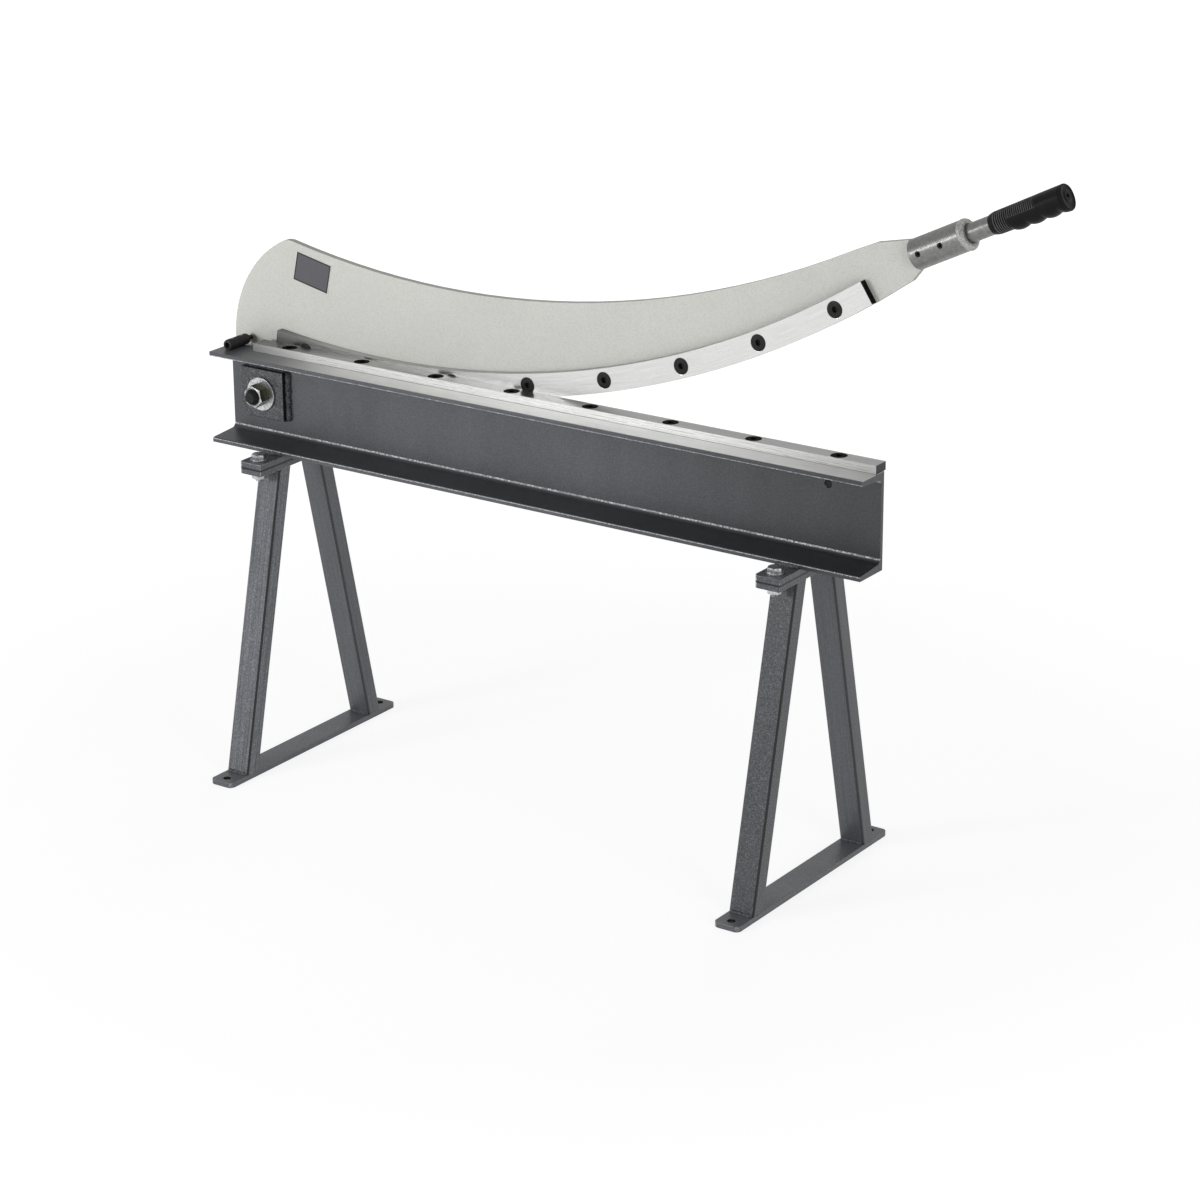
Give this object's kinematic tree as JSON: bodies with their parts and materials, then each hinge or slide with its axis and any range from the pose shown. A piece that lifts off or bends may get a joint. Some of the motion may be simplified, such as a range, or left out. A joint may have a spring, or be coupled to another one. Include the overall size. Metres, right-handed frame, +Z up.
{
  "type": "lever shear",
  "caption": "Floor-standing lever shear: a channel beam on splayed legs with a straight fixed blade, and a curved arm with a curved blade and a handle that swings down past it.",
  "frame": {"origin": "on the floor, at the centre of the rectangle of the four floor holes", "axes": "+X along the beam from the pivot towards the handle, -Y towards the side where the user stands, +Z up"},
  "size_m": [1.3876, 0.4, 1.0359],
  "materials": {
    "stand_paint": "dark grey hammered paint",
    "arm_paint": "pale grey fine-textured paint",
    "blade_steel": "ground tool steel",
    "bare_steel": "turned bare steel",
    "zinc": "bright zinc plate",
    "black_oxide": "black oxide",
    "grip_rubber": "matt black rubber",
    "plate_paint": "dark satin, bare of print"
  },
  "bodies": {
    "stand": {"foot_plate_left": "stand_paint", "foot_plate_right": "stand_paint", "front_leg_left": "stand_paint", "front_leg_right": "stand_paint", "rear_leg_left": "stand_paint", "rear_leg_right": "stand_paint", "lower_joint_plate_left": "stand_paint", "lower_joint_plate_right": "stand_paint", "upper_joint_plate_left": "stand_paint", "upper_joint_plate_right": "stand_paint", "joint_bolts": "zinc", "joint_washers": "zinc", "joint_nuts": "zinc", "beam": "stand_paint", "pivot_plate": "stand_paint", "fixed_blade": "blade_steel", "fixed_blade_screws": "black_oxide", "pivot_bolt": "black_oxide", "pivot_washer_front": "zinc", "pivot_washer_rear": "zinc", "pivot_nut": "zinc", "pivot_spacer": "bare_steel", "adjuster_boss": "black_oxide", "adjuster_lock_screws": "black_oxide", "arm_stop_pin": "black_oxide"},
    "lever": {"arm_plate": "arm_paint", "moving_blade": "blade_steel", "moving_blade_screws": "black_oxide", "moving_blade_nuts": "zinc", "handle_socket": "bare_steel", "socket_grub_screws": "black_oxide", "handle_rod": "bare_steel", "rubber_grip": "grip_rubber", "rating_plate": "plate_paint"},
    "adjuster": {"adjusting_screw": "black_oxide"}
  },
  "joints": [
    {"name": "lever_swing", "type": "hinge", "parent": "stand", "child": "lever", "pos_m": [-0.498, 0.0298, 0.556], "axis": [0, -1, 0], "range_deg": [-11.64, 8.9]},
    {"name": "adjuster_travel", "type": "slide", "parent": "stand", "child": "adjuster", "axis": [0, -1, 0], "range_m": [0, 0.004]}
  ]
}
